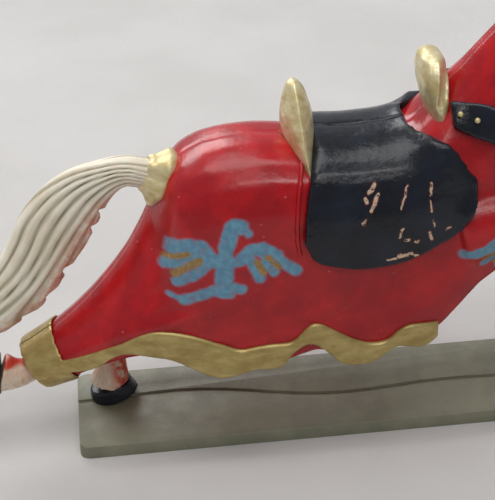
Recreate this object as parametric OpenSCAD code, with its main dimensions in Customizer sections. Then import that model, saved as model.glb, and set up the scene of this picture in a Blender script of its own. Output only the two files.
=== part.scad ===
// Tournament horse in a knight's caparison, a moulded and hand painted plastic figure.
// +X is the way the horse gallops, +Z is up, and the plane Y = 0 is the glued moulding seam.
// The horse's right side is at -Y. The origin is the middle of the ground plate's underside.

/* [Ground plate] */
// Length of the ground plate
base_len = 100; // [90:1:120]
// Width of the ground plate
base_w = 19.2; // [18.4:0.1:24]
// Thickness of the ground plate
base_t = 2.6; // [2.2:0.1:3.4]
// Radius of the plate's upright corners
base_corner = 1.6; // [0.8:0.1:4]
// Height of the raised ground along the far side
step_h = 0.35; // [0.2:0.05:0.6]

/* [Hollow horse] */
// Wall thickness of the two glued halves
wall = 1.6; // [1.3:0.1:1.8]
// Fullness of the body, as a multiple of its drawn half widths
girth = 1; // [0.96:0.01:1.04]
// Depth of the waves in the cloth's lower edge
hem_wave = 1.1; // [0.6:0.1:1.4]

/* [Raised trim] */
// Thickness of the saddle over the cloth
saddle_h = 1.5; // [1:0.1:2]
// Thickness of the gilt hem
hem_h = 0.8; // [0.5:0.1:1.2]
// Thickness of the gilt cuff over the hind leg
cuff_h = 0.5; // [0.4:0.1:1]
// Thickness of the breast strap
strap_h = 1.2; // [0.8:0.1:1.6]
// Radius of the studs on the breast strap
stud_r = 0.75; // [0.5:0.05:0.9]

/* [Joints between pieces] */
// Radius of the pegs under the two planted hooves
peg_r = 1.5; // [1.2:0.1:1.7]
// Radius of the tail's round tenon
tenon_r = 1.8; // [1.5:0.1:2]
// Radius of the locating pins inside the body
pin_r = 1.1; // [0.9:0.1:1.3]
// Clearance round every peg, tenon and pin
fit_gap = 0.05; // [0.03:0.01:0.08]

/* [Hidden] */

red = "crimson";
gilt = "darkgoldenrod";
ivory = "wheat";
jet = "midnightblue";
glue_gap = 0.08; // between a raised trim and the cloth under it
bore_floor = 0.8; // plastic left under a peg hole
side_right = -1;
side_left = 1;

// The body's ribs, from the hind sleeve's mouth over the croup, back and neck to the nose
// band: top point X and Z, bottom point X and Z, half width, and how square the flanks hang.
ribs = [
    [-58.0, 15.8, -53.4, 10.0,  5.2, 0.1], [-52.6, 19.4, -48.8, 12.4,  6.4, 0.4],
    [-46.3, 25.2, -43.6, 15.6,  8.2, 0.7], [-40.4, 32.8, -38.2, 17.8,  9.8, 0.9],
    [-36.6, 40.3, -33.0, 17.2, 10.9, 1.0], [-33.6, 46.0, -28.4, 15.4, 11.5, 1.0],
    [-28.4, 49.5, -23.8, 14.8, 12.0, 1.0], [-20.5, 50.4, -18.6, 15.4, 12.2, 1.0],
    [-13.5, 49.6, -12.6, 17.4, 12.0, 1.0], [ -5.0, 49.2,  -6.2, 15.4, 12.0, 1.0],
    [  3.0, 50.6,   0.5, 16.8, 11.8, 1.0], [  8.1, 57.0,   6.5, 18.6, 11.2, 0.9],
    [ 14.9, 64.9,  12.5, 24.5, 10.2, 0.8], [ 20.0, 70.2,  19.5, 29.0,  9.2, 0.7],
    [ 24.5, 74.4,  25.5, 37.0,  7.8, 0.5], [ 28.5, 77.6,  29.0, 46.5,  6.4, 0.3],
    [ 33.0, 79.6,  31.0, 55.0,  5.4, 0.0], [ 38.0, 78.2,  32.6, 60.0,  5.0, 0.0],
    [ 42.6, 72.6,  34.6, 62.4,  4.6, 0.0], [ 46.6, 66.4,  38.8, 61.0,  3.9, 0.0]];
last_rib = len(ribs) - 1;

// Half of a hanging cloth's cross section, from the seam on top to the seam below:
// the share of the half width, and the share of the rib's length down from its top.
cloth_section = [[0, 0], [0.30, 0.005], [0.56, 0.04], [0.76, 0.12], [0.88, 0.25], [0.94, 0.40],
    [0.97, 0.56], [0.99, 0.72], [1, 0.86], [0.97, 0.97], [0.70, 0.99], [0.36, 0.95], [0, 0.94]];
section_steps = len(cloth_section) - 1;

// The same section where the cloth hangs from a narrow fold, behind the haunch and on the neck
folded_section = [[0, 0], [0.17, 0.05], [0.37, 0.15], [0.58, 0.27], [0.76, 0.40], [0.88, 0.52],
    [0.95, 0.63], [0.99, 0.75], [1, 0.86], [0.97, 0.97], [0.70, 0.99], [0.36, 0.95], [0, 0.94]];
function folded(u) = lookup(u, [[0, 0.4], [1, 0.9], [4, 0.9], [5.2, 0], [10.6, 0], [11.4, 0.7], [13, 0.8],
    [16, 0.4]]);

// Where the raised trims start and end, in ribs along the horse
cuff_end = 1;
cantle_back = 7.6;
saddle_back = 8.12;
saddle_front = 9.92;
pommel_front = 10.8;
strap_back = 10.95;
strap_front = 14.85;
hem_front = 11;

// A smooth curve through rows b and c, with a and d as its neighbours
function between(a, b, c, d, f) = 0.5 * (2 * b + (c - a) * f + (2 * a - 5 * b + 4 * c - d) * f * f
    + (3 * b - a - 3 * c + d) * f * f * f);
function along(rows, u) = let(n = len(rows) - 1, i = max(0, min(floor(u), n - 1)))
    between(rows[max(i - 1, 0)], rows[i], rows[i + 1], rows[min(i + 2, n)], u - i);

// A point of the skin on the right side: u ribs along, t from the top seam to the bottom one
function skin_point(u, t) = let(
    r = along(ribs, u),
    a = 180 * t,
    n = t * section_steps,
    c = along(cloth_section, n) * (1 - folded(u)) + along(folded_section, n) * folded(u),
    oval = [sin(a), (1 - cos(a)) / 2],
    s = oval + (c - oval) * r[5],
    drop = s[1])
    [r[0] + (r[2] - r[0]) * drop, -girth * r[4] * s[0], r[1] + (r[3] - r[1]) * drop];
function unit(v) = v / max(norm(v), 0.0001);
function skin_normal(u, t) = let(
    h = 0.02,
    du = skin_point(min(u + h, last_rib), t) - skin_point(max(u - h, 0), t),
    dt = skin_point(u, min(t + h, 1)) - skin_point(u, max(t - h, 0)),
    n = unit(cross(dt, du)),
    on_seam = t < 0.001 || t > 0.999)
    on_seam ? unit([n[0], 0, n[2]]) : n;
function skin(u, t, lift) = let(p = skin_point(u, t) + lift * skin_normal(u, t))
    [p[0], min(p[1], 0), p[2]];

function steps(a, b, n) = [for (i = [0:n]) a + (b - a) * i / n];

// Joins rings of equal length into one closed solid
module loft(rings) {
    n = len(rings[0]);
    m = len(rings);
    last = (m - 1) * n;
    sides = [for (i = [0:m - 2], j = [0:n - 1], half = [0, 1]) let(
        a = i * n + j, b = i * n + (j + 1) % n, c = a + n, d = b + n)
        half == 0 ? [a, d, b] : [a, c, d]];
    caps = [for (j = [1:n - 2], end = [0, 1]) end == 0 ? [0, j, j + 1] : [last, last + j + 1, last + j]];
    polyhedron(points = [for (r = rings, p = r) p], faces = concat(sides, caps), convexity = 10);
}

// Joins rings whose two halves lie one over the other, as in a bent sheet
module sheet_loft(rings) {
    n = len(rings[0]);
    m = len(rings);
    last = (m - 1) * n;
    sides = [for (i = [0:m - 2], j = [0:n - 1], half = [0, 1]) let(
        a = i * n + j, b = i * n + (j + 1) % n, c = a + n, d = b + n)
        half == 0 ? [a, d, b] : [a, c, d]];
    ends = [for (j = [0:n / 2 - 2], half = [0, 1]) let(a = j, b = j + 1, c = n - 1 - j, d = n - 2 - j)
        half == 0 ? [a, b, d] : [a, d, c]];
    far_ends = [for (f = ends) [last + f[0], last + f[2], last + f[1]]];
    polyhedron(points = [for (r = rings, p = r) p], faces = concat(sides, ends, far_ends),
        convexity = 10);
}

// A sheet that follows the skin on one side: from rib u0 to rib u1, and from t0(u) to t1(u)
// round the section, with its underside at the height low. slide(f, t) moves a point along
// the horse, where f goes from 0 at u0 to 1 at u1
module on_skin(side, u0, u1, nu, nt, t0, t1, height, low = glue_gap, slide = function(f, t) 0) {
    rings = [for (f = steps(0, 1, nu)) let(
        u = u0 + (u1 - u0) * f,
        ts = steps(t0(u), t1(u), nt)) concat(
        [for (t = ts) skin(u + slide(f, t), t, height)],
        [for (i = [nt:-1:0]) skin(u + slide(f, ts[i]), ts[i], low)])];
    mirror([0, side == side_left ? 1 : 0, 0]) sheet_loft(rings);
}

// A round or oval limb: each row is a centre, a half width along Y and a half depth across
function limb_ring(rows, i, sides) = let(
    n = len(rows) - 1,
    before = rows[max(i - 1, 0)],
    after = rows[min(i + 1, n)],
    d = unit([after[0] - before[0], 0, after[2] - before[2]]),
    side_way = [-d[2], 0, d[0]],
    r = rows[i])
    [for (k = [0:sides - 1]) let(a = 360 * k / sides)
        [r[0], r[1], r[2]] + [0, r[3] * cos(a), 0] + side_way * r[4] * sin(a)];
module limb(rows, smooth = 4, sides = 16) {
    fine = [for (k = [0:(len(rows) - 1) * smooth]) along(rows, k / smooth)];
    loft([for (i = [0:len(fine) - 1]) limb_ring(fine, i, sides)]);
}

// ---- the hollow body ----
body_rings = 38; // rings from the hind sleeve to the nose band
skin_steps = 12; // points round each half
module body_shell(side) {
    on_skin(side, 0, last_rib, body_rings, skin_steps, function(u) 0, function(u) 1, 0, -wall);
}

// The cloth sleeves over the forelegs, as centres, half widths and half depths: the right
// one reaches forward, and the left one down towards the plate
right_sleeve = [[9, -6.9, 35.6, 5.9, 6.4], [19, -7, 37.8, 5.7, 6], [28, -7.1, 38.6, 4.8, 5],
    [34, -7.2, 37.8, 4.2, 4.2]];
left_sleeve = [[9, 6.9, 35, 5.9, 6.4], [17, 6.9, 30, 5.5, 5.8], [23, 6.5, 24.6, 4.7, 4.8],
    [27.4, 6.2, 19.8, 4.2, 4.2]];
module sleeve_form(rows) { limb(rows, 2, 14); }
module sleeve_hollow(rows) {
    n = len(rows) - 1;
    thin = [for (r = rows) r - [0, 0, 0, wall, wall]];
    inner = [for (k = [0, 1]) [thin[0][0] - 1.5 + 2.5 * k, thin[0][1] * (0.7 + 0.1 * k), thin[0][2],
        thin[0][3] * 0.8, thin[0][4] * 0.92]];
    limb(concat(inner, [for (i = [1:n]) thin[i]], [thin[n] + (rows[n] - rows[n - 1]) / 6]), 2, 14);
}

// Locating pins across the seam: X, Z and how deep their boss reaches into each half
pins = [[-24, 30, 10.8], [-1, 30, 10.8], [21, 58, 7.6]];
tail_root = [-34.9, 0, 44.2];
tail_tilt = -64; // turns +Z to the way that the tail leaves the body
left_leg_hole = [-43.4, 3.6];
module on_side(side) { mirror([0, side == side_left ? 1 : 0, 0]) children(); }

module across(p, from, r, h) {
    translate([p[0], -from, p[1]]) rotate([90, 0, 0]) cylinder(r = r, h = h, $fn = 32);
}
// One hollow half with its sleeve, its pin bosses and its share of the tail's socket
module body_half(side) {
    sleeve = side == side_left ? left_sleeve : right_sleeve;
    difference() {
        union() {
            body_shell(side);
            sleeve_form(sleeve);
            on_side(side) for (p = pins) across(p, 0, pin_r + 1.2, p[2]);
            if (side == side_left) for (p = pins) across(p, -3, pin_r, 6.5);
        }
        sleeve_hollow(sleeve);
        translate(tail_root) rotate([0, tail_tilt + 180, 0]) translate([0, 0, -3])
            cylinder(r = tenon_r + fit_gap, h = 8.6, $fn = 32);
        if (side == side_left) translate([left_leg_hole[0], left_leg_hole[1], 6])
            cylinder(r = 2.1, h = 12, $fn = 32);
        if (side == side_right) for (p = pins) across(p, -1, pin_r + fit_gap, 5);
    }
}
module body_half_right() { color(red) body_half(side_right); }
module body_half_left() { color(red) body_half(side_left); }

// ---- gilt edges of the cloth ----
function wave(u) = u < 6.4 ? 0 : hem_wave * 0.016 * cos(360 * (u - 8) / 1.75);
module hem(side) {
    on_skin(side, cuff_end + 0.03, hem_front, 40, 4,
        function(u) 0.672 - wave(u), function(u) 0.782 - wave(u) / 2, hem_h);
}
module hem_right() { color(gilt) hem(side_right); }
module hem_left() { color(gilt) hem(side_left); }
module hind_cuff(side) {
    on_skin(side, 0, cuff_end, 6, 12, function(u) 0, function(u) 1, cuff_h);
}
module hind_cuff_right() { color(gilt) hind_cuff(side_right); }
module hind_cuff_left() { color(gilt) hind_cuff(side_left); }

// A gilt ring round a fore sleeve's mouth
module fore_cuff(rows) {
    end = rows[len(rows) - 1];
    before = rows[len(rows) - 2];
    way = [end[0] - before[0], 0, end[2] - before[2]];
    translate([end[0], end[1], end[2]]) rotate([0, atan2(way[0], way[2]), 0]) rotate_extrude($fn = 48)
        polygon([[end[3] - 1, 0.05], [end[3] + hem_h, 0.05], [end[3] + hem_h, 2], [end[3] - 0.4, 2.6],
            [end[3] - 1, 2.6]]);
}
module fore_cuff_right() { color(gilt) fore_cuff(right_sleeve); }
module fore_cuff_left() { color(gilt) fore_cuff(left_sleeve); }

// ---- saddle ----
function saddle_drop(u) = let(f = (u - saddle_back) / (saddle_front - saddle_back))
    0.10 + 0.40 * pow(max(0, 1 - pow(abs(2 * f - 1), f < 0.5 ? 12 : 8)), 0.5);

// Below the cantle and the pommel the flap spreads back and forward round them
function flap_spread(f, t) =
    (2.15 * f - 0.6 * (1 - f)) * sin(90 * pow(max(0, min(1, (t - 0.17) / 0.38)), 0.75));
module saddle_half(side) {
    on_skin(side, saddle_back, saddle_front, 24, 14, function(u) 0, function(u) saddle_drop(u),
        saddle_h, glue_gap, function(f, t) flap_spread(f, t));
}
module saddle_half_right() { color(jet) saddle_half(side_right); }
module saddle_half_left() { color(jet) saddle_half(side_left); }

// An upright arched plate across the back, from rib u0 to rib u1, that reaches t = reach
// down each side and up to the height top. It leans along X by lean times its height, and
// pinch draws its upper edge together
module arched_plate(u0, u1, reach, top, lean, pinch) {
    foot = function(u, s) let(p = skin(u, abs(s) * reach, glue_gap)) [p[0], s > 0 ? -p[1] : p[1], p[2]];
    mid = foot((u0 + u1) / 2, 0)[0];
    crest = function(p, s) let(rise = 0.5 + (top - p[2]) * pow(max(0, 1 - pow(abs(s), 2.4)), 0.7))
        p + [lean * rise + (mid - p[0]) * pinch, 0, rise];
    sheet_loft([for (u = steps(u0, u1, 5)) let(ss = steps(-1, 1, 24)) concat(
        [for (s = ss) crest(foot(u, s), s)],
        [for (i = [24:-1:0]) foot(u, ss[i])])]);
}
module cantle() { color(gilt) arched_plate(cantle_back, saddle_back - 0.03, 0.2, 59.2, -0.04, 0.6); }
module pommel() { color(gilt) arched_plate(saddle_front + 0.03, pommel_front, 0.17, 61.2, -0.14, 0.35); }

// ---- breast strap ----
function strap_line(u) = lookup(u, [[strap_back, 0.17], [11.2, 0.202], [11.5, 0.24], [12, 0.318],
    [12.3, 0.355], [13, 0.47], [14, 0.64], [strap_front, 0.93]]);
strap_half = 0.042; // half the strap's width, as a share of the way round
module breast_strap(side) {
    on_skin(side, strap_back, strap_front, 22, 4, function(u) strap_line(u) - strap_half,
        function(u) strap_line(u) + strap_half, strap_h);
}
module breast_strap_right() { color(jet) breast_strap(side_right); }
module breast_strap_left() { color(jet) breast_strap(side_left); }
module strap_studs() {
    color(gilt) for (side = [0, 1], k = [0:8]) mirror([0, side, 0]) {
        u = strap_back + 0.17 + k * 0.44;
        translate(skin(u, strap_line(u), strap_h + 0.62 * stud_r)) sphere(r = 0.6 * stud_r, $fn = 24);
    }
}

// ---- tail and its gilt collar ----
tail_rows = [[-36.9, 0, 45.2, 2, 2], [-41, 0, 45.3, 2.1, 2.2], [-44.5, 0, 43.6, 2.3, 3.3],
    [-48.3, 0, 40.2, 2.7, 4.6], [-51.8, 0, 35.8, 3, 4.9], [-54.8, 0, 31, 3.2, 4.8],
    [-58.2, 0, 26.8, 3.2, 4.7], [-62.8, 0, 22.8, 3, 4.2], [-67.8, 0, 19.3, 2.4, 3.1],
    [-72.5, 0, 16.6, 1.4, 1.6], [-75, 0, 15.4, 0.6, 0.6]];
module tail() {
    color(ivory) {
        limb(tail_rows, 4, 16);
        translate(tail_root) rotate([0, tail_tilt + 180, 0]) translate([0, 0, -2.8])
            cylinder(r = tenon_r, h = 8, $fn = 32);
    }
}
module tail_collar() {
    color(gilt) translate(tail_root) rotate([0, tail_tilt, 0]) translate([0, 0, 0.4])
        rotate_extrude($fn = 40) polygon([[tenon_r + fit_gap, 0], [4.1, 0], [4, 0.9],
            [2.9, 1.6], [tenon_r + fit_gap, 1.6]]);
}

// ---- legs ----
plate_top = base_t;
hind_right_rows = [[-51.4, -1.5, 14.6, 1.8, 1.8], [-55.8, -1.6, 12.9, 1.9, 1.9],
    [-58.8, -2, 12.3, 2.2, 2.5], [-61.2, -2.4, 12.9, 2.8, 3.4]];
hind_left_rows = [[-42.8, 3.6, 17.6, 1.6, 1.6], [-43.4, 3.6, 11.6, 1.7, 1.8],
    [-44, 3.6, 8.2, 2.1, 2.5], [-44.6, 3.6, 5, 2.8, 3.4]];
fore_right_rows = [[33, -7.2, 37.9, 2.2, 2.2], [38, -7.2, 37.2, 2.6, 2.9],
    [42.2, -7.2, 32.4, 1.9, 2.1], [45, -7.2, 27.4, 1.9, 2.1], [47.2, -7.2, 24.2, 2.6, 3]];
fore_left_rows = [[25, 6.3, 22.4, 1.9, 1.9], [28.2, 6, 18.8, 2, 2.2], [30, 5.6, 16.6, 2.3, 2.6],
    [32.6, 4.9, 12.6, 1.8, 2], [34.4, 4.2, 8.4, 2, 2.3], [35.7, 3.8, 5, 2.7, 3.3]];
function hoof_rows(rows, reach, grow) = let(
    n = len(rows) - 1,
    e = rows[n],
    d = unit(e - rows[n - 1]),
    way = [d[0], d[1], d[2]] / norm([d[0], d[1], d[2]]),
    from = [e[0], e[1], e[2]] + 0.02 * way,
    to = from + reach)
    [[from[0], from[1], from[2], e[3] + 0.15, e[4] + 0.15],
     [to[0], to[1], to[2], e[3] + grow, e[4] + grow]];
module planted_hoof(rows) {
    e = rows[len(rows) - 1];
    limb([[e[0], e[1], e[2] - 0.03, e[3] + 0.1, e[4] + 0.1],
        [e[0] + 0.7, e[1], plate_top, e[3] + 0.4, e[4] + 0.7]], 2, 20);
    translate([e[0] + 0.5, e[1], bore_floor + 0.05]) cylinder(r = peg_r, h = plate_top - bore_floor, $fn = 32);
}
module hind_leg_right() { color(ivory) limb(hind_right_rows, 4, 16); }
module hind_hoof_right() { color(jet) limb(hoof_rows(hind_right_rows, [-5.2, 0, 0.4], 0.9), 3, 20); }
module hind_leg_left() { color(ivory) limb(hind_left_rows, 4, 16); }
module hind_hoof_left() { color(jet) planted_hoof(hind_left_rows); }
module fore_leg_right() { color(ivory) limb(fore_right_rows, 4, 16); }
module fore_hoof_right() { color(jet) limb(hoof_rows(fore_right_rows, [2, 0, -4], 0.8), 3, 20); }
module fore_leg_left() { color(ivory) limb(fore_left_rows, 4, 16); }
module fore_hoof_left() { color(jet) planted_hoof(fore_left_rows); }

// ---- head ----
muzzle_rows = [[43.2, 0, 63.2, 3.5, 4.5], [46, 0, 59.4, 3.2, 4.1], [48.6, 0, 56.1, 3.1, 3.8],
    [50.3, 0, 54, 2.2, 2.5]];
module muzzle() { color(ivory) limb(muzzle_rows, 4, 18); }
module ears() {
    color(red) for (side = [-1, 1]) hull() {
        translate([34.6, side * 2.8, 79.1]) sphere(r = 1.4, $fn = 20);
        translate([34.2, side * 3.6, 84]) sphere(r = 0.5, $fn = 16);
    }
}
module eyes() {
    color(jet) for (side = [-1, 1]) translate([39.4, side * 4.7, 71]) sphere(r = 0.9, $fn = 32);
}

// ---- ground plate ----
module plate_outline() {
    hull() for (x = [-1, 1], y = [-1, 1])
        translate([x * (base_len / 2 - base_corner), y * (base_w / 2 - base_corner)])
            circle(r = base_corner, $fn = 32);
}
module peg_hole(rows) {
    e = rows[len(rows) - 1];
    translate([e[0] + 0.5, e[1], bore_floor]) cylinder(r = peg_r + fit_gap, h = 10, $fn = 32);
}
module base_plate() {
    bank = [for (x = [-50:4:50]) [x, 1.2 - 2.2 * sin(3.1 * (x + 22)) + 0.9 * sin(9 * x)]];
    color("darkseagreen") difference() {
        union() {
            linear_extrude(base_t - step_h) plate_outline();
            intersection() {
                translate([0, 0, base_t - step_h]) linear_extrude(step_h) plate_outline();
                linear_extrude(base_t) polygon(concat(bank, [[60, 20], [-60, 20]]));
            }
        }
        peg_hole(hind_left_rows);
        peg_hole(fore_left_rows);
    }
}

base_plate();
body_half_right();
body_half_left();
hem_right();
hem_left();
hind_cuff_right();
hind_cuff_left();
saddle_half_right();
saddle_half_left();
cantle();
pommel();
breast_strap_right();
breast_strap_left();
strap_studs();
tail();
tail_collar();
hind_leg_right();
hind_hoof_right();
hind_leg_left();
hind_hoof_left();
fore_leg_right();
fore_hoof_right();
fore_leg_left();
fore_hoof_left();
fore_cuff_right();
fore_cuff_left();
muzzle();
ears();
eyes();
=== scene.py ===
import bpy, bmesh, math
from mathutils import Vector, Matrix, noise
from mathutils.bvhtree import BVHTree


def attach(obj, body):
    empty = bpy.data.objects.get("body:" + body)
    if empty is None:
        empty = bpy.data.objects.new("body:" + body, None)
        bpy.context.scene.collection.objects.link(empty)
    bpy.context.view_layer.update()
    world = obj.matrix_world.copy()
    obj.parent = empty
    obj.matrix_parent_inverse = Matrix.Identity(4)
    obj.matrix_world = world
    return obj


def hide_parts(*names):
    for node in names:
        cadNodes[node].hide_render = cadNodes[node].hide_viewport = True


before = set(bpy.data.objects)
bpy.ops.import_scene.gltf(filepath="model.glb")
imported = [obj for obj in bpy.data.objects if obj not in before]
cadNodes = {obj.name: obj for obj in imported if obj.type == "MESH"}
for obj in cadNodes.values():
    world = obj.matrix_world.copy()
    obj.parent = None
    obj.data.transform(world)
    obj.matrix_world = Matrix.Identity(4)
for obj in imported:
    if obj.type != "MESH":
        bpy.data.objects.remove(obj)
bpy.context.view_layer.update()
scene = bpy.context.scene
mm = 0.001
print("frame loaded:", len(cadNodes), "CAD nodes")


# small helpers
def clamp(value, low=0.0, high=1.0):
    return max(low, min(high, value))


def ease(low, high, value):
    t = clamp((value - low) / (high - low))
    return t * t * (3 - 2 * t)


def through(rows, t):  # a smooth curve through rows of numbers, t counts rows
    last = len(rows) - 1
    i = max(0, min(int(t), last - 1))
    f = t - i
    a, b = rows[max(i - 1, 0)], rows[i]
    c, d = rows[i + 1], rows[min(i + 2, last)]
    return [0.5 * (2 * q + (r - p) * f + (2 * p - 5 * q + 4 * r - s) * f * f
                   + (3 * q - p - 3 * r + s) * f ** 3) for p, q, r, s in zip(a, b, c, d)]


def resample(rows, count):
    return [through(rows, (len(rows) - 1) * k / (count - 1)) for k in range(count)]


def loftRings(rings, paint=None):
    # rings of points in mm, joined by extruding one ring's edges again and again
    bm = bmesh.new()
    layer = bm.verts.layers.float_color.new("paint") if paint else None
    ring = bmesh.ops.create_circle(bm, segments=len(rings[0]), radius=1)["verts"]
    place = {v: i for i, v in enumerate(ring)}
    edges = list(bm.edges)
    for r, points in enumerate(rings):
        if r:
            made = bmesh.ops.extrude_edge_only(bm, edges=edges)["geom"]
            fresh = [g for g in made if isinstance(g, bmesh.types.BMVert)]
            place = {v: place[next(e.other_vert(v) for e in v.link_edges
                                   if e.other_vert(v) in place)] for v in fresh}
            edges = [e for e in made if isinstance(e, bmesh.types.BMEdge)
                     and e.verts[0] in place and e.verts[1] in place]
        for v, i in place.items():
            v.co = Vector(points[i]) * mm
            if layer:
                v[layer] = paint[r][i]
        if r in (0, len(rings) - 1):  # shuts both ends
            bmesh.ops.contextual_create(bm, geom=edges)
    bmesh.ops.recalc_face_normals(bm, faces=bm.faces)
    return bm


def limbRings(rows, count, around):
    # rows are centre X, Y, Z, half width along Y and half depth across, in mm
    fine = resample(rows, count)
    rings = []
    for k, row in enumerate(fine):
        a, b = fine[max(k - 1, 0)], fine[min(k + 1, count - 1)]
        way = Vector((b[0] - a[0], 0, b[2] - a[2])).normalized()
        across = Vector((-way.z, 0, way.x))
        ring = []
        for j in range(around):
            turn = 2 * math.pi * j / around
            ring.append(Vector(row[:3]) + Vector((0, 1, 0)) * row[3] * math.cos(turn)
                        + across * row[4] * math.sin(turn))
        rings.append(ring)
    return rings


def castFrom(*names):
    bm = bmesh.new()
    for name in names:
        bm.from_mesh(cadNodes[name].data)
    bmesh.ops.remove_doubles(bm, verts=bm.verts, dist=0.00001)
    return bm


def remeshed(bm, voxel, rounds):
    mesh = bpy.data.meshes.new("work")
    bm.to_mesh(mesh)
    bm.free()
    work = bpy.data.objects.new("work", mesh)
    scene.collection.objects.link(work)
    mod = work.modifiers.new("voxels", "REMESH")
    mod.mode, mod.voxel_size = "VOXEL", voxel * mm
    out = bmesh.new()
    out.from_object(work, bpy.context.evaluated_depsgraph_get())
    bpy.data.objects.remove(work)
    for _ in range(rounds):
        bmesh.ops.smooth_vert(out, verts=out.verts, factor=0.5, use_axis_x=True,
                              use_axis_y=True, use_axis_z=True)
    out.normal_update()
    return out


def mirrored(bm):
    other = bm.copy()
    bmesh.ops.scale(other, vec=(1, -1, 1), verts=other.verts)
    bmesh.ops.reverse_faces(other, faces=other.faces)
    return other


def finishPiece(name, bm, material, slot, *replaced):
    mesh = bpy.data.meshes.new(name)
    bm.to_mesh(mesh)
    bm.free()
    for face in mesh.polygons:
        face.use_smooth = True
    mesh.materials.append(material)
    piece = bpy.data.objects.new(name, mesh)
    scene.collection.objects.link(piece)
    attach(piece, "root")
    if replaced:
        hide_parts(*replaced)
    return piece


def rounded(piece, angle, width, segments):  # rounds the edges sharper than the angle
    mod = piece.modifiers.new("round", "BEVEL")
    mod.width, mod.segments = width * mm, segments
    mod.limit_method, mod.angle_limit = "ANGLE", math.radians(angle)
    mod.harden_normals = True


# shader helpers
def put(tree, kind, inputs=None, **settings):
    node = tree.nodes.new(kind)
    for key, value in settings.items():
        setattr(node, key, value)
    for key, value in (inputs or {}).items():
        if isinstance(value, bpy.types.NodeSocket):
            tree.links.new(value, node.inputs[key])
        else:
            node.inputs[key].default_value = value
    return node


def mixColour(tree, amount, first, second, blend="MIX"):
    node = put(tree, "ShaderNodeMix", data_type="RGBA", blend_type=blend)
    for socket, value in ((0, amount), (6, first), (7, second)):
        if isinstance(value, bpy.types.NodeSocket):
            tree.links.new(value, node.inputs[socket])
        else:
            node.inputs[socket].default_value = value if socket == 0 else (*value, 1)[:4]
    return node.outputs[2]


def maths(tree, operation, *values):
    node = put(tree, "ShaderNodeMath", operation=operation)
    for i, value in enumerate(values):
        if isinstance(value, bpy.types.NodeSocket):
            tree.links.new(value, node.inputs[i])
        else:
            node.inputs[i].default_value = value
    return node.outputs[0]


def ramp(tree, value, low, high, toLow=0.0, toHigh=1.0):
    return put(tree, "ShaderNodeMapRange", {"Value": value, "From Min": low, "From Max": high,
               "To Min": toLow, "To Max": toHigh}, interpolation_type="SMOOTHSTEP").outputs[0]


def cloud(tree, point, size, detail=3.0, rough=0.5, stretch=(1, 1, 1)):
    # noise whose size is in mm
    placed = put(tree, "ShaderNodeMapping", {"Vector": point, "Scale": stretch}).outputs[0]
    return put(tree, "ShaderNodeTexNoise", {"Vector": placed, "Scale": 1.0 / size,
               "Detail": detail, "Roughness": rough}).outputs["Fac"]


def newGroup(name, inputs, outputs):
    group = bpy.data.node_groups.new(name, "ShaderNodeTree")
    for label, kind in inputs:
        group.interface.new_socket(label, in_out="INPUT", socket_type="NodeSocket" + kind)
    for label, kind in outputs:
        group.interface.new_socket(label, in_out="OUTPUT", socket_type="NodeSocket" + kind)
    return group, group.nodes.new("NodeGroupInput"), group.nodes.new("NodeGroupOutput")


def makeStrokeGroup():
    # one soft ended stroke of a brush from Start to End, all in mm
    group, given, out = newGroup("brushStroke", [("Point", "Vector"), ("Start", "Vector"),
        ("End", "Vector"), ("Width", "Float"), ("Soft", "Float")], [("Mask", "Float")])
    def vector(operation, a, b):
        return put(group, "ShaderNodeVectorMath", {0: a, 1: b}, operation=operation)
    fromStart = vector("SUBTRACT", given.outputs["Point"], given.outputs["Start"]).outputs[0]
    whole = vector("SUBTRACT", given.outputs["End"], given.outputs["Start"]).outputs[0]
    done = maths(group, "DIVIDE", vector("DOT_PRODUCT", fromStart, whole).outputs["Value"],
                 vector("DOT_PRODUCT", whole, whole).outputs["Value"])
    done = put(group, "ShaderNodeClamp", {"Value": done}).outputs[0]
    reached = put(group, "ShaderNodeVectorMath", {0: whole, "Scale": done}, operation="SCALE").outputs[0]
    away = vector("SUBTRACT", fromStart, reached).outputs[0]
    far = put(group, "ShaderNodeVectorMath", {0: away}, operation="LENGTH").outputs["Value"]
    inner = maths(group, "SUBTRACT", given.outputs["Width"], given.outputs["Soft"])
    outer = maths(group, "ADD", given.outputs["Width"], given.outputs["Soft"])
    group.links.new(ramp(group, far, inner, outer, 1.0, 0.0), out.inputs["Mask"])
    return group


strokeGroup = makeStrokeGroup()


def strokes(tree, point, rows, soft):
    # the union of strokes, each row X, Z, X, Z and half width in mm
    total = None
    for x0, z0, x1, z1, width in rows:
        node = put(tree, "ShaderNodeGroup", node_tree=strokeGroup)
        tree.links.new(point, node.inputs["Point"])
        for key, value in (("Start", (x0, 0, z0)), ("End", (x1, 0, z1)), ("Width", width), ("Soft", soft)):
            node.inputs[key].default_value = value
        total = node.outputs[0] if total is None else maths(tree, "MAXIMUM", total, node.outputs[0])
    return total


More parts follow.
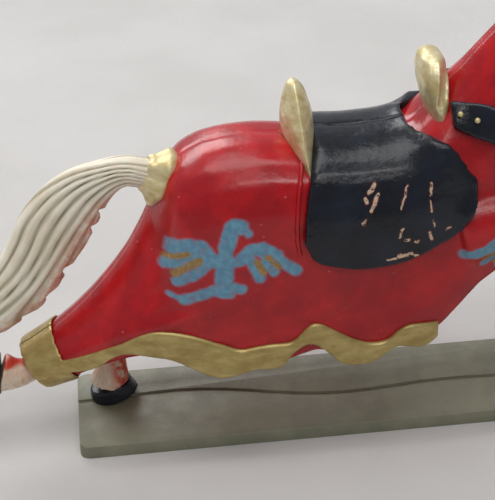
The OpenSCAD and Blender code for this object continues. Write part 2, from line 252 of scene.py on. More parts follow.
def makeBirdGroup():
    # a plain spread bird, painted freehand: outputs the blue body and the old gold accents
    group, given, out = newGroup("paintedBird", [("Point", "Vector")],
                                 [("Blue", "Float"), ("Gold", "Float")])
    blue = [(-37.6, 37.3, -36, 36.9, 0.85), (-36, 36.9, -33.6, 36.9, 1.0),
            (-33.6, 36.9, -31.6, 37.6, 1.15), (-31.6, 37.6, -29.8, 37.6, 1.2),
            (-29.8, 37.6, -28.6, 36.2, 1.1), (-35.4, 33.9, -32.9, 34.8, 0.75),
            (-32.9, 34.8, -30, 36, 0.9), (-33.4, 31.7, -31.1, 33.1, 0.75),
            (-31.1, 33.1, -28.6, 35.3, 0.95), (-28.6, 35.6, -26.4, 35.4, 1.1),
            (-25, 40.6, -23.9, 40.6, 1.15), (-23.6, 40.6, -22.7, 39.5, 0.55),
            (-25.2, 40, -26, 37.6, 1.15), (-26, 37.6, -26.3, 35.4, 1.0),
            (-26.3, 35.4, -26.6, 31.4, 1.3), (-26.3, 34.9, -23.8, 35.3, 0.8),
            (-23.8, 35.6, -22.5, 36.7, 1.0), (-22.5, 36.9, -20.9, 37.1, 0.95),
            (-20.9, 36.9, -18.9, 35.6, 1.15), (-18.9, 35.4, -15.9, 33.1, 0.85),
            (-22.6, 35.5, -21.3, 32.4, 0.8), (-20.3, 35, -19.2, 33.2, 0.75),
            (-27, 31.4, -24, 30.7, 0.75), (-27.6, 30.6, -26, 30.2, 1.0),
            (-27.4, 30.9, -30.6, 29.6, 0.8), (-30.6, 29.6, -32.6, 28.9, 0.75),
            (-32.4, 28.9, -34.7, 29.5, 0.4)]
    gold = [(-35.2, 35, -33.4, 35.7, 0.3), (-33.4, 35.7, -31.7, 36.4, 0.35), (-33.8, 32.8, -31.6, 34.5, 0.4),
            (-31.6, 34.5, -30.1, 35.4, 0.5), (-21.6, 34.9, -20.8, 33.3, 0.4), (-20, 35.6, -18.5, 33.9, 0.35)]
    for label, rows, soft, bold in (("Blue", blue, 0.34, 1.06), ("Gold", gold, 0.24, 1.3)):
        rows = [(*row[:4], row[4] * bold) for row in rows]
        group.links.new(strokes(group, given.outputs["Point"], rows, soft), out.inputs[label])
    return group


def makeWearGroup():
    # broad mottling and small specks that every painted surface has
    group, given, out = newGroup("handPaint", [("Point", "Vector"), ("Patch", "Float"), ("Speck", "Float")],
                                 [("Mottle", "Float"), ("Specks", "Float"), ("Height", "Float")])
    broad = put(group, "ShaderNodeTexNoise", {"Vector": given.outputs["Point"], "Scale": 0.22, "Detail": 4.0})
    mottle = maths(group, "MULTIPLY", broad.outputs["Fac"], given.outputs["Patch"])
    group.links.new(mottle, out.inputs["Mottle"])
    dots = put(group, "ShaderNodeTexVoronoi", {"Vector": given.outputs["Point"], "Scale": 0.32})
    spread = put(group, "ShaderNodeTexNoise", {"Vector": given.outputs["Point"], "Scale": 2.2, "Detail": 2.0})
    shaken = maths(group, "ADD", dots.outputs["Distance"],
                   maths(group, "MULTIPLY", spread.outputs["Fac"], 0.08))
    group.links.new(maths(group, "MULTIPLY", ramp(group, shaken, 0.07, 0.1, 1.0, 0.0),
                          given.outputs["Speck"]), out.inputs["Specks"])
    fine = put(group, "ShaderNodeTexNoise", {"Vector": given.outputs["Point"], "Scale": 1.1, "Detail": 5.0,
               "Roughness": 0.55})
    group.links.new(fine.outputs["Fac"], out.inputs["Height"])
    return group


birdGroup = makeBirdGroup()
wearGroup = makeWearGroup()


class Finish:  # one material being built: its tree, its shader and the place in mm
    def __init__(self, name, patch=1.0, speck=0.0):
        self.material = bpy.data.materials.new(name)
        self.material.use_nodes = True
        self.tree = self.material.node_tree
        self.shader = self.tree.nodes["Principled BSDF"]
        place = put(self.tree, "ShaderNodeTexCoord").outputs["Object"]
        self.point = put(self.tree, "ShaderNodeVectorMath", {0: place, "Scale": 1000.0},
                         operation="SCALE").outputs[0]
        self.wear = put(self.tree, "ShaderNodeGroup", node_tree=wearGroup)
        self.tree.links.new(self.point, self.wear.inputs["Point"])
        self.wear.inputs["Patch"].default_value = patch
        self.wear.inputs["Speck"].default_value = speck

    def flat(self, wobble=0.0):  # the place seen from the side, shaken a little by hand
        point = self.point
        if wobble:
            shake = put(self.tree, "ShaderNodeTexNoise", {"Vector": point, "Scale": 0.9, "Detail": 2.0})
            off = put(self.tree, "ShaderNodeVectorMath", {0: shake.outputs["Color"], 1: (0.5, 0.5, 0.5)},
                      operation="SUBTRACT").outputs[0]
            off = put(self.tree, "ShaderNodeVectorMath", {0: off, "Scale": wobble},
                      operation="SCALE").outputs[0]
            point = put(self.tree, "ShaderNodeVectorMath", {0: point, 1: off}, operation="ADD").outputs[0]
        return put(self.tree, "ShaderNodeVectorMath", {0: point, 1: (1, 0, 1)},
                   operation="MULTIPLY").outputs[0]

    def axis(self, name):
        return put(self.tree, "ShaderNodeSeparateXYZ", {0: self.point}).outputs[name]

    def set(self, colour=None, rough=None, height=None, strength=0.3, distance=0.0002, **fixed):
        if colour is not None:
            self.tree.links.new(colour, self.shader.inputs["Base Color"])
        if rough is not None:
            self.tree.links.new(rough, self.shader.inputs["Roughness"])
        if height is not None:
            bump = put(self.tree, "ShaderNodeBump", {"Height": height, "Strength": strength,
                       "Distance": distance})
            self.tree.links.new(bump.outputs[0], self.shader.inputs["Normal"])
        for key, value in fixed.items():
            self.shader.inputs[key.replace("_", " ")].default_value = value
        return self.material


# paints and plastics
# the paler pink third tone is a painted reflection, laid along the seam on the back
redTones = {"deep": (0.34, 0.005, 0.010), "bright": (0.47, 0.008, 0.012), "wearAndSheen": (0.60, 0.09, 0.10),
            "speck": (0.75, 0.4, 0.36), "blue": (0.10, 0.245, 0.36), "paleBlue": (0.14, 0.33, 0.45),
            "gold": (0.27, 0.15, 0.035), "paleGold": (0.38, 0.24, 0.07)}


# gilt lines on the hood, seen from the side: round the eye, down the cheek and across the nose
hoodLines = [(37.4, 71.2, 38.2, 72.8, 0.32), (38.2, 72.8, 39.9, 73.1, 0.32), (39.9, 73.1, 41.3, 71.6, 0.32),
             (41.3, 71.6, 40.9, 70.0, 0.32), (40.9, 70.0, 39.2, 69.2, 0.32), (39.2, 69.2, 37.7, 69.9, 0.32),
             (37.7, 69.9, 37.4, 71.2, 0.32), (31.6, 78.6, 32.6, 72.0, 0.42), (32.6, 72.0, 34.6, 62.6, 0.42),
             (33.4, 69.0, 37.6, 65.8, 0.36), (37.6, 65.8, 42.6, 65.2, 0.36), (46.0, 67.6, 38.4, 60.6, 0.75),
             (44.6, 70.0, 40.4, 65.4, 0.36)]


def makeRedPaint():
    f = Finish("redPaint", speck=1.0)
    t = f.tree
    mottle = ramp(t, f.wear.outputs["Mottle"], 0.38, 0.66)
    streak = ramp(t, cloud(t, f.point, 5.0, 4.0, 0.6, (0.35, 1, 1.4)), 0.45, 0.75)
    colour = mixColour(t, mottle, redTones["deep"], redTones["bright"])
    colour = mixColour(t, maths(t, "MULTIPLY", streak, 0.35), colour, redTones["bright"])
    # painted reflection: a paler pink along the glued seam stands in for the bright sheen along the top of
    # the back
    seam = ramp(t, maths(t, "ABSOLUTE", f.axis("Y")), 0.1, 0.7, 0.3, 0.0)
    colour = mixColour(t, seam, colour, redTones["wearAndSheen"])
    view = f.flat(0.5)
    turned = put(t, "ShaderNodeMapping", {"Vector": view, "Location": (-47.0, 0, 4.0)}).outputs[0]
    turned = put(t, "ShaderNodeVectorRotate", {"Vector": turned, "Center": (-37.6, 0, 37.3),
                 "Axis": (0, 1, 0), "Angle": math.radians(24)}, rotation_type="AXIS_ANGLE").outputs[0]
    masks = []
    for place in (view, turned):
        bird = put(t, "ShaderNodeGroup", node_tree=birdGroup)
        t.links.new(place, bird.inputs["Point"])
        masks.append((bird.outputs["Blue"], bird.outputs["Gold"]))
    flank = ramp(t, maths(t, "ABSOLUTE", f.axis("Y")), 6.2, 7.6)
    blue = maths(t, "MULTIPLY", maths(t, "MAXIMUM", masks[0][0], masks[1][0]), flank)
    gold = maths(t, "MULTIPLY", maths(t, "MAXIMUM", masks[0][1], masks[1][1]), flank)
    gold = maths(t, "MAXIMUM", gold, maths(t, "MULTIPLY", strokes(t, f.flat(0.25), hoodLines, 0.12),
                                           ramp(t, maths(t, "ABSOLUTE", f.axis("Y")), 1.2, 2.0)))
    thin = ramp(t, cloud(t, f.point, 1.6, 4.0), 0.25, 0.5, 0.72, 1.0)
    blueTone = mixColour(t, ramp(t, cloud(t, f.point, 0.9, 3.0), 0.35, 0.7), redTones["blue"],
                         redTones["paleBlue"])
    goldTone = mixColour(t, ramp(t, cloud(t, f.point, 0.5, 3.0), 0.35, 0.7), redTones["gold"],
                         redTones["paleGold"])
    colour = mixColour(t, maths(t, "MULTIPLY", blue, thin), colour, blueTone)
    colour = mixColour(t, maths(t, "MULTIPLY", gold, thin), colour, goldTone)
    colour = mixColour(t, maths(t, "MULTIPLY", f.wear.outputs["Specks"], 0.35), colour,
                       redTones["speck"])
    rough = ramp(t, cloud(t, f.point, 7.0, 4.0), 0.3, 0.75, 0.16, 0.34)
    rough = maths(t, "ADD", rough, maths(t, "MULTIPLY", blue, 0.12))
    height = maths(t, "ADD", f.wear.outputs["Height"], maths(t, "MULTIPLY", blue, 0.12))
    return f.set(colour, rough, height, 0.25, 0.00022, Coat_Weight=0.12, Coat_Roughness=0.1,
                 Specular_IOR_Level=0.36)


def makeGilt(name, low, high, wearAndSheen):
    f = Finish(name)
    t = f.tree
    brushed = cloud(t, f.point, 2.2, 5.0, 0.6, (0.6, 1, 1.5))
    tone = ramp(t, brushed, 0.28, 0.74)
    colour = mixColour(t, tone, low, high)
    rub = ramp(t, cloud(t, f.point, 2.6, 5.0, 0.7), 0.60, 0.70)
    colour = mixColour(t, maths(t, "MULTIPLY", rub, wearAndSheen), colour, (0.30, 0.09, 0.035))
    rough = ramp(t, brushed, 0.3, 0.7, 0.46, 0.3)
    grain = cloud(t, f.point, 0.35, 4.0, 0.7)
    height = maths(t, "ADD", brushed, maths(t, "MULTIPLY", grain, 0.35))
    return f.set(colour, rough, height, 0.4, 0.00025, Metallic=0.45, Specular_IOR_Level=0.5)


chipMarks = [(-4.4, 45.8, -5.2, 44.7, 0.26), (-3.9, 44.4, -5.0, 42.3, 0.24), (-5.8, 43.9, -5.6, 43.5, 0.28),
             (-6.2, 40.6, -5.9, 40.9, 0.26), (0.4, 45.4, -0.6, 42.3, 0.13), (3.8, 45.7, 3.75, 44.0, 0.14),
             (3.75, 43.2, 3.8, 41.6, 0.13), (4.0, 40.2, 4.3, 39.3, 0.12), (-0.3, 39.4, -0.9, 38.1, 0.17),
             (0.0, 37.5, 0.5, 37.4, 0.2), (1.5, 37.2, 1.8, 37.1, 0.2), (3.6, 38.4, 3.9, 37.2, 0.22),
             (6.1, 38.6, 6.7, 38.8, 0.13), (-0.9, 35.1, 0.9, 35.2, 0.3), (-2.6, 34.6, -1.4, 34.8, 0.16),
             (1.4, 34.9, 2.0, 34.8, 0.18), (-15.1, 37.3, -14.9, 36.5, 0.25), (-3.2, 32.9, 0, 33.1, 0.12)]


def makeJet(name, chips):
    f = Finish(name)
    t = f.tree
    tone = ramp(t, cloud(t, f.point, 6.0, 4.0), 0.35, 0.7)
    colour = mixColour(t, tone, (0.007, 0.008, 0.012), (0.012, 0.015, 0.026))
    dust = ramp(t, cloud(t, f.point, 0.6, 6.0, 0.8), 0.66, 0.76)
    colour = mixColour(t, maths(t, "MULTIPLY", dust, 0.2), colour, (0.09, 0.11, 0.15))
    height = maths(t, "ADD", maths(t, "MULTIPLY", cloud(t, f.point, 0.8, 4.0, 0.7), 0.6),
                   f.wear.outputs["Height"])
    if chips:
        view = f.flat(0.7)
        core = strokes(t, view, chipMarks, 0.07)
        rims = strokes(t, view, [(a, b, c, d, w + 0.16) for a, b, c, d, w in chipMarks], 0.1)
        ragged = ramp(t, cloud(t, f.point, 0.45, 3.0, 0.7), 0.36, 0.5)
        core = maths(t, "MULTIPLY", core, ragged)
        rims = maths(t, "MULTIPLY", rims, ramp(t, cloud(t, f.point, 0.7, 3.0), 0.42, 0.6))
        colour = mixColour(t, maths(t, "MULTIPLY", rims, 0.8), colour, (0.12, 0.018, 0.012))
        colour = mixColour(t, core, colour, (0.60, 0.42, 0.30))
        height = maths(t, "SUBTRACT", height, maths(t, "MULTIPLY", core, 0.6))
    rough = ramp(t, cloud(t, f.point, 1.4, 5.0, 0.6), 0.3, 0.7, 0.14, 0.28)
    return f.set(colour, rough, height, 0.4, 0.0002, Coat_Weight=0.1, Coat_Roughness=0.08,
                 Specular_IOR_Level=0.3)


def makeTailPlastic():
    f = Finish("tailPlastic")
    t = f.tree
    given = put(t, "ShaderNodeAttribute", attribute_name="paint")
    parts = put(t, "ShaderNodeSeparateColor", {0: given.outputs["Color"]})
    colour = mixColour(t, ramp(t, cloud(t, f.point, 4.0, 4.0), 0.3, 0.7), (0.80, 0.72, 0.56),
                       (0.90, 0.85, 0.72))
    # painted shade: the grooves and hair lines of the tail, given in the red channel, are darkened to olive
    # brown
    hollow = ramp(t, parts.outputs["Red"], 0.1, 0.75)
    colour = mixColour(t, maths(t, "MULTIPLY", hollow, 0.75), colour, (0.30, 0.24, 0.13))
    spray = maths(t, "MULTIPLY", parts.outputs["Green"],
                  ramp(t, cloud(t, f.point, 1.5, 4.0, 0.7), 0.32, 0.62))
    colour = mixColour(t, spray, colour, (0.56, 0.19, 0.12))
    rough = ramp(t, cloud(t, f.point, 3.0, 4.0), 0.3, 0.7, 0.34, 0.5)
    height = maths(t, "ADD", cloud(t, f.point, 0.5, 4.0, 0.6), f.wear.outputs["Height"])
    return f.set(colour, rough, height, 0.35, 0.0002, Subsurface_Weight=0.1, Subsurface_Scale=0.002)


def makeLegPlastic():
    f = Finish("legPlastic")
    t = f.tree
    colour = mixColour(t, ramp(t, cloud(t, f.point, 2.5, 4.0), 0.3, 0.7), (0.70, 0.50, 0.36),
                       (0.80, 0.68, 0.54))
    hair = cloud(t, f.point, 0.5, 3.0, 0.6, (1.6, 1.6, 0.25))
    colour = mixColour(t, ramp(t, hair, 0.5, 0.72, 0.0, 0.5), colour, (0.45, 0.22, 0.14))
    # red spray on the planted hind leg, strongest on its front
    x, z = f.axis("X"), f.axis("Z")
    front = ramp(t, maths(t, "ADD", x, maths(t, "MULTIPLY", z, 0.18)), -43.6, -41.4)
    spray = maths(t, "MULTIPLY", maths(t, "MULTIPLY", front, ramp(t, x, -30.0, -36.0)),
                  ramp(t, cloud(t, f.point, 1.1, 3.0), 0.3, 0.55))
    colour = mixColour(t, spray, colour, (0.62, 0.07, 0.03))
    topSpray = strokes(t, f.flat(0.4), [(-61.2, 15.4, -57.6, 14.9, 0.55), (-59, 15.0, -56.4, 14.4, 0.45)],
                       0.3)
    colour = mixColour(t, topSpray, colour, (0.58, 0.05, 0.03))
    # nostril and mouth
    face = strokes(t, f.flat(0.2), [(50.2, 57.2, 50.9, 56.1, 0.34), (51.4, 53.2, 46.9, 55.6, 0.15)], 0.1)
    colour = mixColour(t, face, colour, (0.12, 0.04, 0.03))
    rough = ramp(t, cloud(t, f.point, 2.0, 4.0), 0.3, 0.7, 0.32, 0.5)
    return f.set(colour, rough, maths(t, "ADD", hair, f.wear.outputs["Height"]), 0.4, 0.0002,
                 Subsurface_Weight=0.1, Subsurface_Scale=0.002)


def makeGround():
    f = Finish("groundPlastic", speck=1.0)
    t = f.tree
    colour = mixColour(t, ramp(t, f.wear.outputs["Mottle"], 0.35, 0.68), (0.195, 0.195, 0.135),
                       (0.245, 0.245, 0.170))
    stain = ramp(t, cloud(t, f.point, 9.0, 5.0, 0.65), 0.55, 0.75)
    colour = mixColour(t, maths(t, "MULTIPLY", stain, 0.4), colour, (0.165, 0.150, 0.105))
    colour = mixColour(t, maths(t, "MULTIPLY", f.wear.outputs["Specks"], 0.5), colour, (0.40, 0.38, 0.30))
    rough = ramp(t, cloud(t, f.point, 5.0, 4.0), 0.3, 0.7, 0.42, 0.58)
    height = maths(t, "ADD", cloud(t, f.point, 0.4, 4.0, 0.6), f.wear.outputs["Height"])
    return f.set(colour, rough, height, 0.3, 0.00018)


redPaint = makeRedPaint()
hemGilt = makeGilt("hemGilt", (0.32, 0.225, 0.07), (0.50, 0.385, 0.15), 0.4)
brightGilt = makeGilt("brightGilt", (0.58, 0.46, 0.20), (0.84, 0.75, 0.48), 0.3)
saddleJet = makeJet("saddleJet", True)
hoofJet = makeJet("hoofJet", False)
tailPlastic = makeTailPlastic()
legPlastic = makeLegPlastic()
groundPlastic = makeGround()
print("materials made")

# ground plate
plate = {"edge": 0.28, "edgeSteps": 3, "sharpAngle": 35, "flatAngle": 0.02}
bm = castFrom("base_plate")
bmesh.ops.dissolve_limit(bm, angle_limit=plate["flatAngle"], verts=bm.verts, edges=bm.edges)
piece = finishPiece("groundPlate", bm, groundPlastic, "base_green", "base_plate")
rounded(piece, plate["sharpAngle"], plate["edge"], plate["edgeSteps"])
print("ground plate")

# the two glued halves
cloth = {"voxel": 0.45, "smooth": 16, "seamDepth": 0.22, "seamWidth": 0.3,
         # creases in the cloth: X, Z, X, Z, half width and height in mm
         "creases": [(-52, 17.5, -18, 31.5, 1.3, 0.28), (-49, 16.5, -6, 27.5, 1.1, 0.2),
                     (-44, 24, -30, 33, 1.0, -0.2), (-30, 21, 4, 27, 1.2, -0.22),
                     (-14, 23, -6, 31, 1.6, 0.3), (0, 21.5, 8, 31, 1.6, 0.28),
                     (-22, 20, -17, 28, 1.5, -0.25), (-40, 22, -30, 27, 1.2, 0.2)]}


def creaseHeight(x, z):
    total = 0.0
    for x0, z0, x1, z1, width, height in cloth["creases"]:
        dx, dz = x1 - x0, z1 - z0
        f = clamp(((x - x0) * dx + (z - z0) * dz) / (dx * dx + dz * dz))
        far = math.hypot(x - x0 - dx * f, z - z0 - dz * f)
        total += height * math.exp(-(far / width) ** 2) * math.sin(math.pi * clamp(f, 0.06, 0.94))
    return total


whole = remeshed(castFrom("body_half_right", "body_half_left"), cloth["voxel"], cloth["smooth"])
for v in whole.verts:
    x, y, z = v.co / mm
    lift = creaseHeight(x, z) * ease(3, 8, abs(y))
    lift -= cloth["seamDepth"] * math.exp(-(y / cloth["seamWidth"]) ** 2)
    v.co += v.normal * lift * mm
print("body cast:", len(whole.faces), "faces")


def halfOf(bm, side):
    # side is -1 for the right half and 1 for the left one
    cut = bmesh.ops.bisect_plane(bm, geom=[*bm.verts, *bm.edges, *bm.faces], plane_co=(0, side * 0.00002, 0),
                                 plane_no=(0, side, 0), clear_inner=True)["geom_cut"]
    edges = [e for e in cut if isinstance(e, bmesh.types.BMEdge)]
    bmesh.ops.triangle_fill(bm, edges=edges, use_beauty=True)
    bmesh.ops.recalc_face_normals(bm, faces=bm.faces)
    return bm


bodyTree = BVHTree.FromBMesh(whole)
halfLeft = halfOf(whole.copy(), 1)
halfRight = halfOf(whole, -1)
finishPiece("bodyHalfRight", halfRight, redPaint, "red_paint", "body_half_right")
finishPiece("bodyHalfLeft", halfLeft, redPaint, "red_paint", "body_half_left")


def skinY(x, z):  # how far out the right flank is at a place seen from the side, in mm
    hit = bodyTree.ray_cast(Vector((x * mm, -0.05, z * mm)), Vector((0, 1, 0)))[0]
    return hit.y / mm if hit and hit.y < 0 else None


# trim cast from the solids
trims = [("hindCuffRight", "hind_cuff_right", hemGilt, "gilt_paint", 0.3, 4),
         ("hindCuffLeft", "hind_cuff_left", hemGilt, "gilt_paint", 0.3, 4),
         ("breastStrapRight", "breast_strap_right", hoofJet, "black_paint", 0.3, 4),
         ("breastStrapLeft", "breast_strap_left", hoofJet, "black_paint", 0.3, 4),
         ("foreCuffRight", "fore_cuff_right", hemGilt, "gilt_paint", 0.26, 3),
         ("foreCuffLeft", "fore_cuff_left", hemGilt, "gilt_paint", 0.26, 3),
         ("muzzle", "muzzle", legPlastic, "ivory_plastic", 0.3, 4),
         ("ears", "ears", redPaint, "red_paint", 0.2, 2),
         ("hindHoofRight", "hind_hoof_right", hoofJet, "black_paint", 0.24, 3),
         ("hindHoofLeft", "hind_hoof_left", hoofJet, "black_paint", 0.24, 3),
         ("foreHoofRight", "fore_hoof_right", hoofJet, "black_paint", 0.24, 3),
         ("foreHoofLeft", "fore_hoof_left", hoofJet, "black_paint", 0.24, 3),
         ("hindLegRight", "hind_leg_right", legPlastic, "ivory_plastic", 0.24, 3),
         ("hindLegLeft", "hind_leg_left", legPlastic, "ivory_plastic", 0.24, 3),
         ("foreLegRight", "fore_leg_right", legPlastic, "ivory_plastic", 0.24, 3),
         ("foreLegLeft", "fore_leg_left", legPlastic, "ivory_plastic", 0.24, 3),
         ("strapStuds", "strap_studs", brightGilt, "gilt_paint", 0.14, 1),
         ("eyes", "eyes", hoofJet, "black_paint", 0.16, 2)]
for name, node, material, slot, voxel, rounds in trims:
    finishPiece(name, remeshed(castFrom(node), voxel, rounds), material, slot, node)
print("trim cast")

# saddle
saddle = {"voxel": 0.36, "smooth": 8, "flapTop": 44.0, "shorter": 0.8}
for name, node in (("saddleHalfRight", "saddle_half_right"), ("saddleHalfLeft", "saddle_half_left")):
    bm = remeshed(castFrom(node), saddle["voxel"], saddle["smooth"])
    for v in bm.verts:
        x, y, z = v.co / mm
        if z < saddle["flapTop"]:
            higher = saddle["flapTop"] - (saddle["flapTop"] - z) * saddle["shorter"]
            before, after = skinY(x, z), skinY(x, higher)
            if before and after:
                v.co.y += math.copysign(before - after, y) * mm
            v.co.z = higher * mm
    finishPiece(name, bm, saddleJet, "black_paint", node)
print("saddle")

# gilt hem
hem = {"thick": 0.75, "flare": 1.1, "stations": 150, "evened": 3,
       # where it lies, its upper edge and its lower edge, seen from the side
       "rows": [[-52, 16.3, 14.5], [-50, 17.0, 14.9], [-47.5, 18.1, 15.7], [-45.5, 19.1, 17.0],
                [-44, 19.9, 18.3], [-42, 20.9, 19.2], [-40, 22.2, 19.3], [-37.5, 23.4, 19.1],
                [-35, 23.5, 18.8], [-32, 22.9, 17.7], [-29.5, 22.1, 16.6], [-27, 21.1, 16.1],
                [-24.6, 20.1, 16.6], [-22.4, 20.4, 17.2], [-20, 20.7, 17.1], [-18.2, 20.7, 17.4],
                [-16.6, 20.9, 19.0], [-15, 22.4, 20.1], [-13.6, 23.6, 20.3], [-12, 23.4, 19.3],
                [-10.5, 22.4, 18.0], [-9, 21.4, 16.9], [-7, 20.2, 16.5], [-4.5, 19.3, 16.7],
                [-2, 19.6, 18.0], [-0.5, 21.0, 18.6], [1.2, 21.9, 18.4], [3.8, 21.7, 18.0],
                [6.2, 21.5, 19.0]]}
# round the strip: how far down it and how far out of the cloth
hemSection = [(0.0, -0.5), (-0.04, 0.35), (0.04, 0.85), (0.25, 1.0), (0.5, 0.85), (0.75, 0.95), (0.95, 1.05),
              (1.04, 0.6), (1.02, -0.2), (0.9, -0.9), (0.5, -1.0)]


def hemRings():
    rings = []
    for row in resample(hem["rows"], hem["stations"]):
        x, top, low = row
        upper = skinY(x, top) or -9.0
        lower = skinY(x, max(low + 1.2, top - 1.5)) or upper
        trough = ease(19.5, 16.2, low) * ease(-50, -40, x)
        ring = []
        for down, out in hemSection:
            z = top + (low - top) * down
            y = upper + (lower - upper) * min(down, 0.6) - hem["thick"] * out
            ring.append(Vector((x, y - hem["flare"] * trough * max(down, 0) ** 1.6, z)))
        rings.append(ring)
    for _ in range(hem["evened"]):  # evens out what the flank's small facets do
        rings = [[(a[i] + b[i] * 2 + c[i]) / 4 for i in range(len(hemSection))]
                 for a, b, c in zip([rings[0]] + rings[:-1], rings, rings[1:] + [rings[-1]])]
    return rings


hemBm = loftRings(hemRings())
for name, bm, node in (("hemLeft", mirrored(hemBm), "hem_left"), ("hemRight", hemBm, "hem_right")):
    piece = finishPiece(name, bm, hemGilt, "gilt_paint", node)
    mod = piece.modifiers.new("soften", "SUBSURF")
    mod.levels = mod.render_levels = 1
print("hem")

# cantle and pommel
# levels from the foot up: centre X, height, half depth along X and half width along Y
cantle = {"sharp": 1.4, "rings": 46, "around": 64, "lump": 0.1,
          "levels": [[-13.0, 45.4, 0.9, 8.9], [-13.4, 47.4, 1.8, 8.7], [-13.8, 49.6, 2.35, 8.1],
                     [-14.1, 52.0, 2.45, 7.0], [-14.3, 54.3, 2.2, 5.4], [-14.4, 56.2, 1.75, 3.7],
                     [-14.5, 57.7, 1.15, 2.0], [-14.5, 58.4, 0.45, 0.8]]}
pommel = {"sharp": 2.2, "rings": 50, "around": 72, "lump": 0.1,
          "levels": [[6.4, 50.4, 1.1, 5.0], [6.4, 52.4, 1.4, 5.6], [6.2, 54.4, 1.75, 6.1],
                     [6.0, 56.4, 2.0, 6.1], [5.8, 58.2, 2.1, 5.6], [5.7, 59.6, 2.0, 4.7],
                     [5.6, 60.8, 1.7, 3.4], [5.6, 61.5, 1.0, 1.9]],
          # the ear shaped hollow on each side: centre X and Z, half sizes and depth
          "hollow": (6.7, 57.6, 0.8, 2.6, 1.6), "ridge": (5.0, 57.2, 0.6, 3.6, 0.4)}


def dent(kind, x, z):
    cx, cz, wx, wz, deep = kind
    slant = (z - cz) * 0.12
    return deep * math.exp(-((x - cx - slant) / wx) ** 4 - ((z - cz) / wz) ** 4)


def stackRings(shape):
    rings = []
    power = 2 / shape["sharp"]
    for x, z, depth, width in resample(shape["levels"], shape["rings"]):
        ring = []
        for j in range(shape["around"]):
            turn = 2 * math.pi * j / shape["around"]
            c, q = math.cos(turn), math.sin(turn)
            p = Vector((x + max(depth, 0.05) * math.copysign(abs(c) ** power, c),
                        max(width, 0.05) * math.copysign(abs(q) ** power, q), z))
            lump = shape["lump"] * noise.noise(p * 0.55)
            p += Vector((c, q, 0)) * lump
            if "hollow" in shape:
                inward = dent(shape["hollow"], p.x, z) - dent(shape["ridge"], p.x, z)
                p.y -= math.copysign(min(inward, abs(p.y)), p.y) * ease(0.5, 2.0, abs(p.y))
            ring.append(p)
        rings.append(ring)
    return rings


for name, shape in (("cantle", cantle), ("pommel", pommel)):
    finishPiece(name, loftRings(stackRings(shape)), brightGilt, "gilt_paint", name)
print("cantle and pommel")

# red piping behind the saddle
piping = {"thick": 0.34, "out": 0.5, "bedded": 0.15, "stations": 40, "rings": 60, "around": 12,
          "rows": [[-13.9, 49.6], [-14.5, 47.6], [-15.1, 45], [-15.45, 42], [-15.6, 39.5], [-15.55, 37.2],
                   [-15.25, 35.6]]}
pastBack = -11  # where the piping lies if it passes above the back
rows = [(x, (skinY(x, z) or pastBack) - piping["bedded"], z, piping["out"], piping["thick"])
        for x, z in resample(piping["rows"], piping["stations"])]
pipeBm = loftRings(limbRings(rows, piping["rings"], piping["around"]))
finishPiece("saddlePipingLeft", mirrored(pipeBm), redPaint, "red_paint")
finishPiece("saddlePipingRight", pipeBm, redPaint, "red_paint")
print("piping")

# tail
tail = {"rings": 120, "around": 96, "strands": 6.5, "depth": 0.85,
        "rows": [[-35.4, 0, 44.4, 2.1, 2.1], [-37.4, 0, 45.1, 2.3, 2.3], [-39.8, 0, 45.5, 2.3, 2.4],
                 [-42.4, 0, 44.8, 2.3, 2.9], [-45.6, 0, 42.9, 2.3, 4.2], [-48.4, 0, 40.2, 2.6, 5.2],
                 [-50.9, 0, 36.8, 2.8, 5.6], [-53.2, 0, 32.8, 3.0, 5.3], [-55.9, 0, 28.8, 3.1, 5.2],
                 [-59.2, 0, 25.4, 3.1, 5.0], [-63, 0, 22.6, 2.9, 4.4], [-67.6, 0, 19.6, 2.4, 3.2],
                 [-72.2, 0, 17, 1.4, 1.7], [-74.8, 0, 15.6, 0.5, 0.5]],
        # torn notches of the lower edge: how far along, and how deep
        "notches": [(0.335, 1.1), (0.405, 0.9), (0.56, 1.3), (0.63, 0.7), (0.70, 1.1), (0.79, 0.8),
                    (0.86, 0.8)],
        "notchLong": 0.032, "hair": 0.13, "sprayed": 0.85}


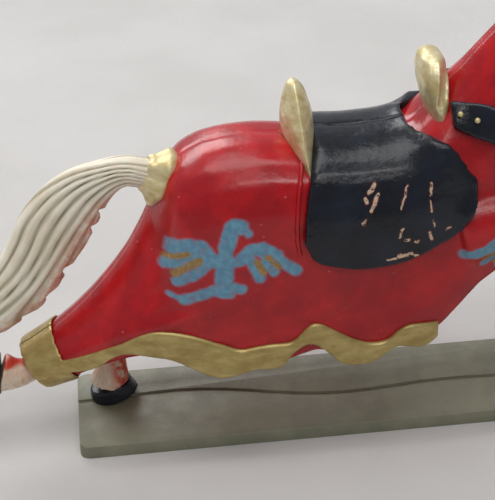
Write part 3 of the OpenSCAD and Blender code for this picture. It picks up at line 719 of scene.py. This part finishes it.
def tailRings():
    fine = resample(tail["rows"], tail["rings"])
    rings, paint = [], []
    for k, row in enumerate(fine):
        s = k / (tail["rings"] - 1)
        a, b = fine[max(k - 1, 0)], fine[min(k + 1, tail["rings"] - 1)]
        way = Vector((b[0] - a[0], 0, b[2] - a[2])).normalized()
        across = Vector((-way.z, 0, way.x))
        ring, tones = [], []
        for j in range(tail["around"]):
            turn = 2 * math.pi * j / tail["around"]
            low = math.sin(turn)
            side = 1 if math.cos(turn) > 0 else -1
            lane = (low * 0.5 + 0.5) ** 0.9 * tail["strands"] - 1.6 * s * (0.4 + 0.6 * low)
            lane += 0.6 * math.sin(4.2 * s + 1.1 * side + 1.5 * low) + 0.3 * math.sin(9.7 * s + 3.1 * low)
            groove = 1 - abs(math.sin(math.pi * lane)) ** 0.55
            hair = 1 - abs(math.sin(math.pi * (lane * 2.6 + 0.8 * math.sin(7 * s))))
            sunk = tail["depth"] * ease(0.02, 0.3, s) * (0.25 + 0.75 * ease(-1, -0.2, -abs(low) + 0.35))
            inward = sunk * groove + tail["hair"] * hair * ease(0.1, 0.3, s)
            inward *= clamp(1.6 - 1.1 * s, 0.5, 1.0) if s > 0.8 else 1
            torn = 0.0
            for at, deep in tail["notches"]:
                d = (s - at) / tail["notchLong"]
                if -1 < d < 0.35:
                    torn += deep * (1 + d if d < 0 else 1 - d / 0.35)
            torn *= ease(0.72, 1.0, low)
            ring.append(Vector(row[:3]) + Vector((0, 1, 0)) * max(row[3] - inward, 0.1) * math.cos(turn)
                        + across * (max(row[4] - 0.5 * inward, 0.1) - torn) * low)
            spray = ease(0.15, 0.95, low) * ease(0.16, 0.34, s) * tail["sprayed"]
            # red: painted shade in the grooves and hair lines, green: red overspray on the lower edge, blue:
            # how far along the tail
            tones.append((clamp(groove * 0.9 + 0.25 * hair), spray, s, 1))
        rings.append(ring)
        paint.append(tones)
    return rings, paint


rings, paint = tailRings()
finishPiece("tail", loftRings(rings, paint=paint), tailPlastic, "ivory_plastic", "tail")

# an uneven gilt rim where the tail enters the cloth: how far out and how wide
collar = {"centre": (-34.9, 0, 44.2), "out": (-0.90, 0, 0.43),
          "profile": [(-1.6, 4.0), (-0.8, 4.35), (-0.2, 4.3), (0.3, 3.95), (0.8, 3.4), (1.3, 2.95),
                      (1.9, 2.7), (2.3, 2.35)],
          "rings": 22, "around": 56, "narrow": 0.92, "tall": 1.04, "lump": 0.35}
out = Vector(collar["out"]).normalized()
up = out.cross(Vector((0, 1, 0)))
rings = []
for away, wide in resample(collar["profile"], collar["rings"]):
    ring = []
    for j in range(collar["around"]):
        turn = 2 * math.pi * j / collar["around"]
        way = Vector((0, collar["narrow"] * math.cos(turn), 0)) + up * math.sin(turn) * collar["tall"]
        uneven = 1 + 0.09 * noise.noise(way * 1.9) + 0.03 * math.sin(5 * turn)
        off = away + collar["lump"] * noise.noise(way * 2.3)
        ring.append(Vector(collar["centre"]) + out * off + way * wide * uneven)
    rings.append(ring)
finishPiece("tailCollar", loftRings(rings), brightGilt, "gilt_paint", "tail_collar")
print("tail")


# camera, lights and floor
shot = {"place": (-0.04210, -0.19268, 0.14764), "yaw": 0.105, "pitch": 0.545, "roll": -0.026, "lens": 105.95}


def makeCamera():
    yaw, pitch, roll = shot["yaw"], shot["pitch"], shot["roll"]
    ahead = Vector((math.sin(yaw) * math.cos(pitch), math.cos(yaw) * math.cos(pitch), -math.sin(pitch)))
    right = Vector((math.cos(yaw), -math.sin(yaw), 0))
    up = right.cross(ahead)
    right, up = (right * math.cos(roll) + up * math.sin(roll), up * math.cos(roll) - right * math.sin(roll))
    data = bpy.data.cameras.new("camera")
    data.lens, data.sensor_width, data.clip_start, data.clip_end = shot["lens"], 36.0, 0.005, 10.0
    camera = bpy.data.objects.new("camera", data)
    turn = Matrix((right, up, -ahead)).transposed().to_4x4()
    camera.matrix_world = Matrix.Translation(shot["place"]) @ turn
    scene.collection.objects.link(camera)
    scene.camera = camera


def makeLamp(name, place, aim, size, power, tint=(1, 1, 1)):
    data = bpy.data.lights.new(name, "AREA")
    data.shape, data.size, data.size_y = "RECTANGLE", size[0], size[1]
    data.energy, data.color = power, tint
    lamp = bpy.data.objects.new(name, data)
    lamp.location = place
    lamp.rotation_mode = "QUATERNION"
    lamp.rotation_quaternion = (Vector(aim) - Vector(place)).to_track_quat("-Z", "Y")
    scene.collection.objects.link(lamp)


def makeFloor():
    bm = bmesh.new()
    bmesh.ops.create_grid(bm, x_segments=2, y_segments=2, size=2.0)
    mesh = bpy.data.meshes.new("floor")
    bm.to_mesh(mesh)
    bm.free()
    f = Finish("paleCloth")
    t = f.tree
    weave = put(t, "ShaderNodeTexNoise", {"Vector": f.point, "Scale": 0.9, "Detail": 6.0,
                "Roughness": 0.7}).outputs["Fac"]
    soft = cloud(t, f.point, 40.0, 3.0)
    colour = mixColour(t, ramp(t, soft, 0.3, 0.7), (0.53, 0.515, 0.50), (0.58, 0.565, 0.55))
    mesh.materials.append(f.set(colour, None, weave, 0.25, 0.0006, Roughness=0.85))
    floor = bpy.data.objects.new("floor", mesh)
    scene.collection.objects.link(floor)


makeCamera()
makeFloor()
makeLamp("window", (-0.35, 0.75, 0.6), (0, 0, 0.03), (0.7, 0.4), 4.6, (1.0, 0.99, 0.98))
makeLamp("sky", (-0.12, -0.08, 1.1), (0, 0, 0), (0.9, 0.7), 6.6, (1, 0.995, 0.985))
makeLamp("front", (0.12, -0.72, 0.8), (0, 0, 0.03), (0.45, 0.1), 1.3, (1.0, 0.98, 0.95))


def makeRoom():
    # brighter behind and above the object than in front of it
    world = bpy.data.worlds.new("room")
    world.use_nodes = True
    t = world.node_tree
    way = put(t, "ShaderNodeTexCoord").outputs["Generated"]
    height = put(t, "ShaderNodeVectorMath", {0: way, 1: (-0.15, 0.6, 0.75)},
                 operation="DOT_PRODUCT").outputs["Value"]
    back = t.nodes["Background"]
    back.inputs["Color"].default_value = (0.86, 0.88, 0.92, 1)
    t.links.new(ramp(t, height, -0.35, 0.75, 0.26, 0.5), back.inputs["Strength"])
    scene.world = world


makeRoom()
scene.view_settings.view_transform = "Standard"
print("camera, lights and floor")
